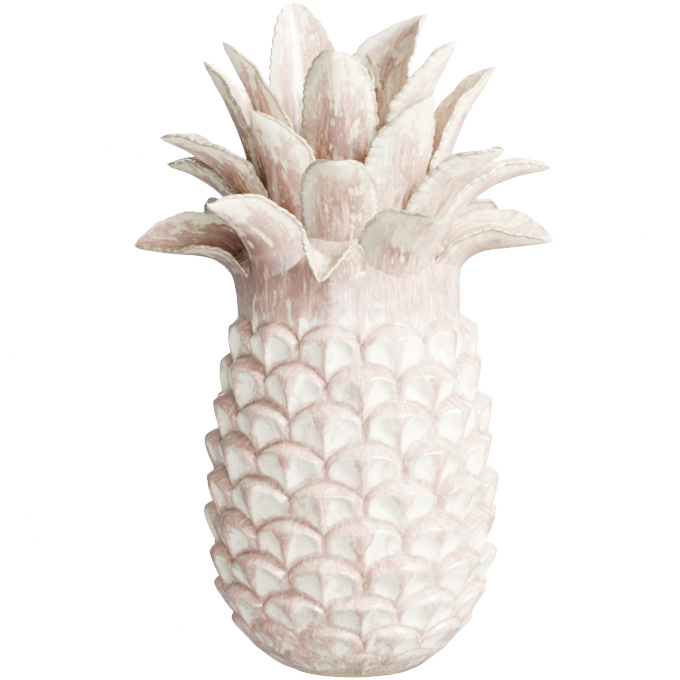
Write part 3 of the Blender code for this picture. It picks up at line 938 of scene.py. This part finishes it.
def glaze_material(colours):
    """Reactive glaze: white where it pools, pink where it breaks, brown at sharp edges, and painted shade
    in the creases, under the leaves, in the crown and on the left side.
    """
    name = "Pink and white reactive glaze"
    if name in bpy.data.materials:
        return bpy.data.materials[name]
    material = bpy.data.materials.new(name)
    material.use_nodes = True
    nodes = Nodes(material.node_tree)
    shader = material.node_tree.nodes["Principled BSDF"]

    def mask(which):
        return nodes.add("ShaderNodeAttribute", {"attribute_name": which}, output=2)

    def colour(which):
        return (*getattr(colours, which), 1.0)

    flow = nodes.add("ShaderNodeAttribute", {"attribute_name": "flow"}, output=1)
    place = nodes.add("ShaderNodeTexCoord", output=3)
    height = nodes.add("ShaderNodeSeparateXYZ", None, {0: place}, output=2)
    pooled, border, crease, edge = mask("pooled"), mask("border"), mask("crease"), mask("edge")

    fibres = nodes.noise(nodes.scaled(flow, FIBRES), 1.0, 4.0, 0.62, 0.5)
    runs = nodes.noise(nodes.scaled(flow, RUNS), 1.0, 3.0, 0.55, 0.6)
    clouds = nodes.noise(place, CLOUDS, 3.0, 0.55, 0.5)
    blots = nodes.noise(place, BLOTS, 2.0, 0.5, 0.8)
    patches = nodes.noise(nodes.scaled(flow, PATCHES), 1.0, 2.0, 0.5, 0.5)
    specks = nodes.noise(place, SPECKS, 3.0, 0.6)

    # How far pink tongues reach into the white pools; the left side, away from the soft box, is painted
    # pinker and darker as painted shade
    leftward = nodes.add("ShaderNodeSeparateXYZ", None, {0: place}) * -1.0
    left_shade = leftward.ease(-0.09, 0.11) - 0.45
    crown = height.ease(*CROWN_BAND)
    streaks = (blots - 0.5) * 1.2 + (patches - 0.5) * 1.5 + (runs - 0.5) * 1.2 + (fibres - 0.5) * 1.3
    reach = pooled + streaks * (1 + 0.5 * crown) - left_shade * 0.08
    whiteness = reach.ease(0.28, 0.76)
    wash = (fibres * 0.6 + clouds * 0.5 + (specks - 0.5) * 0.25).ease(0.42, 0.82)
    broken = fibres * 0.85 + runs * 0.30 + (specks - 0.5) * 0.6 + clouds * 0.3 + left_shade * 0.10
    pinkness = (1 - whiteness) * (0.32 + 0.68 * broken.ease(0.48, 0.88))

    pool = nodes.mix(colour("white"), colour("cream"), crown)
    ground = nodes.mix(pool, colour("pale"), wash * 0.40 + (1 - whiteness) * 0.45)
    body = nodes.mix(ground, colour("pink"), pinkness)
    stain = (fibres * 0.5 + runs * 0.5 + (clouds - 0.5) + (blots - 0.5) * 0.6).ease(0.48, 0.74)
    # Painted shade: a darker pink band round the neck under the low leaves, stronger on the left
    neck_shade = height.ease(0.234, 0.252) * (1 - height.ease(0.276, 0.296)) * (0.78 + 0.5 * left_shade)
    streaked = (runs * 0.6 + fibres * 0.5 + patches * 1.1 + left_shade * 0.24 - 0.6).ease(0.34, 0.60)
    # Dark pink: the glaze's dark mottle in the pink, with painted shade from the creases, the neck and,
    # stronger, the crown
    dark_mottle_and_shade = crease.at_least(neck_shade) * (0.36 + (0.55 + 0.30 * crown) * streaked)
    dark_mottle_and_shade = (dark_mottle_and_shade * (1 - 0.75 * whiteness)).at_least(
        (1 - whiteness) * stain * (0.6 + 0.25 * crown))
    body = nodes.mix(body, colour("dark"), (dark_mottle_and_shade * (0.85 + 0.15 * crown)).at_most(1.0))
    line = border * (0.35 + 0.9 * clouds.ease(0.35, 0.65))
    body = nodes.mix(body, colour("green"), (line * 0.75).at_most(1.0))
    worn = edge * (clouds * 0.5 + blots * 0.5 + (specks - 0.5) * 0.8).ease(0.34, 0.54)
    body = nodes.mix(body, colour("edge"), (worn * 0.95).at_most(1.0))
    ragged = height + (clouds - 0.5) * 0.005
    bare = 1 - ragged.ease(*FOOT_LINE)
    body = nodes.mix(body, colour("clay"), bare)

    bumps = fibres * 0.35 + clouds + specks * 0.12 * (1 + 4 * bare)
    bump = nodes.add("ShaderNodeBump", None, {
        "Strength": BUMP_STRENGTH, "Distance": BUMP_DISTANCE, "Height": bumps})
    nodes.feed(shader.inputs["Base Color"], body)
    nodes.feed(shader.inputs["Roughness"], colours.gloss + 0.10 * broken + 0.5 * bare)
    nodes.feed(shader.inputs["Coat Weight"], COAT_WEIGHT * (1 - bare))
    nodes.feed(shader.inputs["Normal"], bump)
    shader.inputs["Coat Roughness"].default_value = COAT_ROUGHNESS
    return material


class PINEAPPLE_OT_body(bpy.types.Operator):
    """Build the body with its carved eyes, its foot and the closed core of the crown"""

    bl_idname = "pineapple.body"
    bl_label = "Build Body"

    def execute(self, context):
        sizes = context.scene.pineapple_body
        material = glaze_material(context.scene.pineapple_glaze)
        data = grow_eyes(sizes, material)
        if not data.polygons:
            raise RuntimeError("the eyes made no surface")
        mesh = bmesh.new()
        mesh.from_mesh(data)
        close_body(mesh)
        finish_mesh(mesh, data)
        points = mesh_points(data)
        flow = body_flow(points)
        flat = points[:, 2] < MERGE_DISTANCE
        leaves = root_tree(context.scene.pineapple_leaves)
        points = smooth_neck(data, root_swell(points, leaves, ROOT_FILLET))
        points = uneven(root_swell(points, leaves, ROOT_TRIM), sizes.unevenness)
        points[flat, 2] = 0.0
        data.vertices.foreach_set("co", points.astype(np.float32).ravel())
        keep(data, "flow", flow)
        keep(data, "edge", np.zeros(len(points)))
        for name in ("across", "level", "eye"):
            data.attributes.remove(data.attributes[name])
        place_piece(data, "body", material)
        return {"FINISHED"}


class PINEAPPLE_OT_leaves(bpy.types.Operator):
    """Build the leaves of the crown, one piece for each tier"""

    bl_idname = "pineapple.leaves"
    bl_label = "Build Leaves"

    def execute(self, context):
        sizes = context.scene.pineapple_leaves
        amount = context.scene.pineapple_body.unevenness
        material = glaze_material(context.scene.pineapple_glaze)
        random = np.random.default_rng(sizes.seed)
        for name in LEAVES:
            places, faces, masks, flow = tier_shape(name, sizes, random)
            data = bpy.data.meshes.new(name)
            data.from_pydata(uneven(places, amount), [], faces)
            for kind, values in {"flow": flow, **masks}.items():
                keep(data, kind, values)
            mesh = bmesh.new()
            mesh.from_mesh(data)
            finish_mesh(mesh, data)
            place_piece(data, name, material)
        return {"FINISHED"}


def build_floor(stage):
    """A pale round floor that curves up into a wall all round the ornament."""
    profile = [(FLOOR_MIDDLE, 0.0)]
    for step in range(FLOOR_STEPS + 1):
        angle = math.radians(90 * step / FLOOR_STEPS)
        profile.append((FLOOR_REACH - FLOOR_TURN + FLOOR_TURN * math.sin(angle),
                        FLOOR_TURN - FLOOR_TURN * math.cos(angle)))
    profile.append((FLOOR_REACH, WALL_HEIGHT))
    mesh = bmesh.new()
    rows = []
    for side in range(FLOOR_SIDES):
        bearing = math.tau * side / FLOOR_SIDES
        rows.append([mesh.verts.new((radius * math.cos(bearing), radius * math.sin(bearing), height))
                     for radius, height in profile])
    mesh.faces.new([row[0] for row in rows])
    for row, following in zip(rows, rows[1:] + rows[:1]):
        for index in range(len(profile) - 1):
            mesh.faces.new((row[index], row[index + 1], following[index + 1], following[index]))
    data = bpy.data.meshes.new("floor")
    finish_mesh(mesh, data)
    data.flip_normals()
    data.shade_smooth()
    floor = bpy.data.objects.new("floor", data)
    bpy.context.scene.collection.objects.link(floor)
    material = bpy.data.materials.new("Pale paper")
    material.use_nodes = True
    shader = material.node_tree.nodes["Principled BSDF"]
    shader.inputs["Base Color"].default_value = (*stage.floor, 1.0)
    shader.inputs["Roughness"].default_value = 0.9
    shader.inputs["Specular IOR Level"].default_value = 0.1
    shader.inputs["Emission Color"].default_value = (*stage.floor, 1.0)
    shader.inputs["Emission Strength"].default_value = stage.floor_glow
    data.materials.append(material)
    floor.visible_diffuse = False
    floor.visible_glossy = False


def build_lights(context, stage):
    """A large soft box on the right, weak ones in front and behind, and even light all round."""
    for name, place, aim, size, share, colour in LIGHTS:
        data = bpy.data.lights.new(name, "AREA")
        data.shape = "RECTANGLE"
        data.size, data.size_y = size
        data.energy = stage.key_power * share
        data.color = colour
        lamp = bpy.data.objects.new(name, data)
        lamp.location = place
        lamp.rotation_euler = (Vector(aim) - Vector(place)).to_track_quat("-Z", "Y").to_euler()
        context.scene.collection.objects.link(lamp)
    world = bpy.data.worlds.new("Even light")
    world.use_nodes = True
    background = world.node_tree.nodes["Background"]
    background.inputs["Color"].default_value = (1.0, 1.0, 1.0, 1.0)
    background.inputs["Strength"].default_value = stage.fill
    context.scene.world = world


def aim_camera(context):
    """Put the camera where the photograph was taken from."""
    tilt = math.radians(CAMERA_ELEVATION)
    data = bpy.data.cameras.new("camera")
    data.sensor_width = SENSOR_WIDTH
    data.lens = CAMERA_DISTANCE / METRES_PER_PIXEL / PHOTO_PIXELS * SENSOR_WIDTH
    camera = bpy.data.objects.new("camera", data)
    target = Vector((-(AXIS_PIXEL - PHOTO_PIXELS / 2) * METRES_PER_PIXEL, 0.0, AIM_HEIGHT))
    camera.location = target - CAMERA_DISTANCE * Vector((0.0, math.cos(tilt), -math.sin(tilt)))
    camera.rotation_euler = (math.pi / 2 - tilt, 0.0, 0.0)
    context.scene.collection.objects.link(camera)
    context.scene.camera = camera


class PINEAPPLE_OT_stage(bpy.types.Operator):
    """Set the pale floor, the soft light and the camera"""

    bl_idname = "pineapple.stage"
    bl_label = "Set Stage"

    def execute(self, context):
        stage = context.scene.pineapple_stage
        build_floor(stage)
        build_lights(context, stage)
        aim_camera(context)
        return {"FINISHED"}


class PINEAPPLE_PT_panel(bpy.types.Panel):
    """Buttons and sizes for the ornament"""

    bl_idname = "PINEAPPLE_PT_panel"
    bl_label = "Pineapple Ornament"
    bl_space_type = "VIEW_3D"
    bl_region_type = "UI"
    bl_category = "Pineapple"

    def draw(self, context):
        layout = self.layout
        for operator, sizes in (("pineapple.body", context.scene.pineapple_body),
                                ("pineapple.leaves", context.scene.pineapple_leaves),
                                ("pineapple.stage", context.scene.pineapple_stage)):
            box = layout.box()
            for name in sizes.__annotations__:
                box.prop(sizes, name)
            box.operator(operator)
        box = layout.box()
        for name in PineappleGlaze.__annotations__:
            box.prop(context.scene.pineapple_glaze, name)


SETTINGS = {
    "pineapple_body": PineappleBodySizes,
    "pineapple_leaves": PineappleLeafSizes,
    "pineapple_glaze": PineappleGlaze,
    "pineapple_stage": PineappleStage,
}
CLASSES = (*SETTINGS.values(), PINEAPPLE_OT_body, PINEAPPLE_OT_leaves, PINEAPPLE_OT_stage,
           PINEAPPLE_PT_panel)


def register():
    for kind in CLASSES:
        bpy.utils.register_class(kind)
    for name, kind in SETTINGS.items():
        setattr(bpy.types.Scene, name, bpy.props.PointerProperty(type=kind))


def unregister():
    for name in SETTINGS:
        delattr(bpy.types.Scene, name)
    for kind in reversed(CLASSES):
        bpy.utils.unregister_class(kind)


def main():
    """Build the ornament and its stage."""
    register()
    bpy.ops.pineapple.stage()
    bpy.ops.pineapple.body()
    bpy.ops.pineapple.leaves()


if __name__ == "__main__":
    main()
